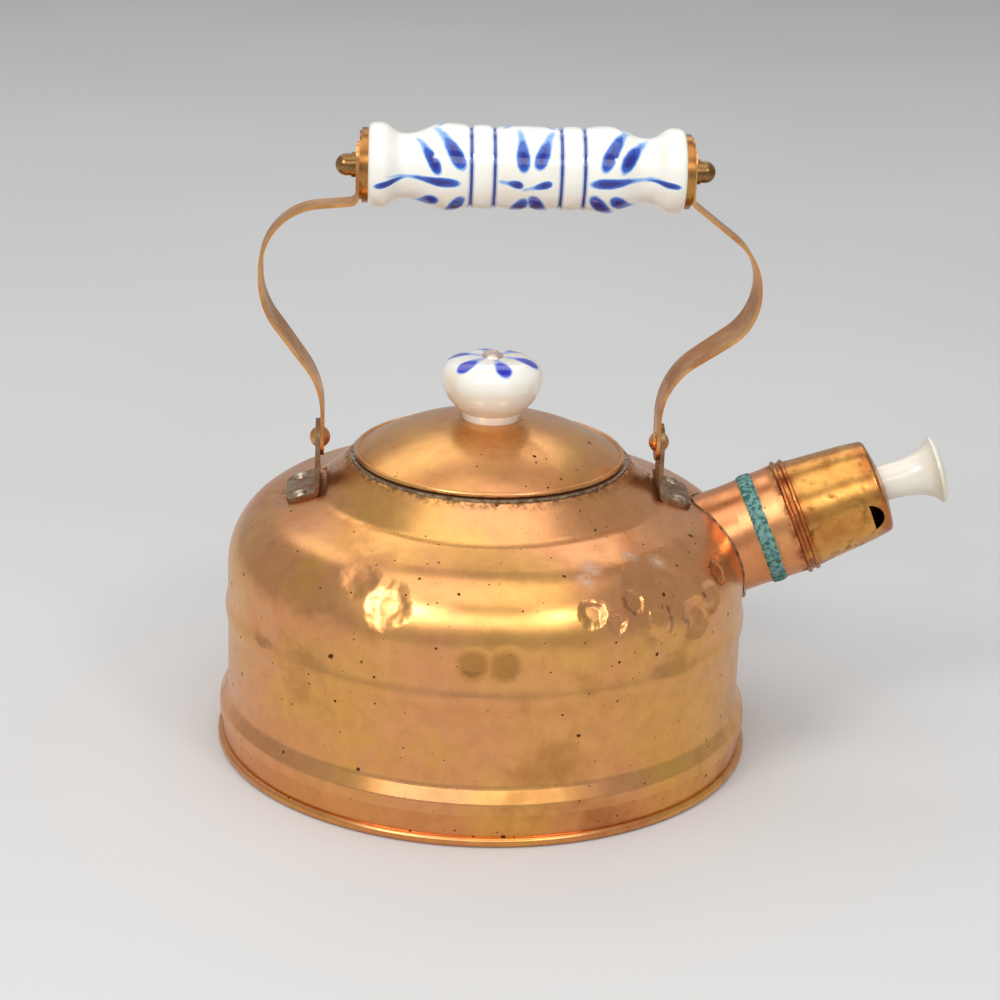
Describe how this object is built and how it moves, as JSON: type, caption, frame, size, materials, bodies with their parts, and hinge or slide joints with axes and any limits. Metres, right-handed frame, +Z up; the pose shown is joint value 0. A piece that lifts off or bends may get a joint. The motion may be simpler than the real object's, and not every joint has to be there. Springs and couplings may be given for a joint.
{
  "type": "whistling kettle",
  "caption": "Round copper kettle with a swinging strap handle and porcelain grip, a lift-off domed lid with a porcelain knob, and a brass whistle cap on its short spout.",
  "frame": {"origin": "centre of the flat base, on the surface that the kettle stands on", "axes": "+Z up through the lid; +X towards the spout, with the handle's grip and its pivots along X"},
  "size_m": [0.2492, 0.184, 0.2142],
  "materials": {
    "copper": "aged polished copper sheet",
    "copper_lid": "aged copper sheet, a little darker",
    "copper_dull": "dull oxidised copper",
    "strap_copper": "brown worn copper strip",
    "brass": "tarnished brass",
    "brass_barrel": "tarnished brass with copper tinge",
    "tinned": "tinned metal, worn",
    "verdigris": "green copper corrosion crust",
    "steel": "plain steel",
    "screw_metal": "worn nickel-plated screw head",
    "porcelain": "glazed white porcelain",
    "porcelain_blue": "white glaze, hand-painted blue leaves",
    "porcelain_petals": "white glaze, blue petals"
  },
  "bodies": {
    "kettle": {"body_shell": "copper", "base_pan": "copper", "mouth_ring": "tinned", "right_ear": "copper_dull", "left_ear": "copper_dull", "right_ear_rivets": "tinned", "left_ear_rivets": "tinned", "right_pivot_rivet": "copper_dull", "left_pivot_rivet": "copper_dull", "spout_root": "copper", "spout_seam_ring": "verdigris", "spout_collar": "copper"},
    "handle": {"right_strap": "strap_copper", "left_strap": "strap_copper", "grip": "porcelain_blue", "right_ferrule": "brass", "left_ferrule": "brass", "right_acorn_nut": "brass", "left_acorn_nut": "brass", "tie_rod": "steel"},
    "lid": {"lid_shell": "copper_lid", "lid_collar": "tinned", "lid_knob": "porcelain_petals", "knob_screw": "screw_metal", "knob_washer": "steel", "knob_nut": "steel"},
    "whistle": {"whistle_cap": "brass_barrel", "whistle_disc_1": "brass", "whistle_disc_2": "brass", "whistle_pull": "porcelain", "pull_screw": "steel"}
  },
  "joints": [
    {"name": "handle_swing", "type": "hinge", "parent": "kettle", "child": "handle", "pos_m": [0, 0, 0.107], "axis": [1, 0, 0], "range_deg": [-98, 98]},
    {"name": "lid_lift", "type": "slide", "parent": "kettle", "child": "lid", "axis": [0, 0, 1], "range_m": [0, 0.03]},
    {"name": "whistle_pull_off", "type": "slide", "parent": "kettle", "child": "whistle", "axis": [0.9239, 0, 0.3827], "range_m": [0, 0.02]}
  ]
}
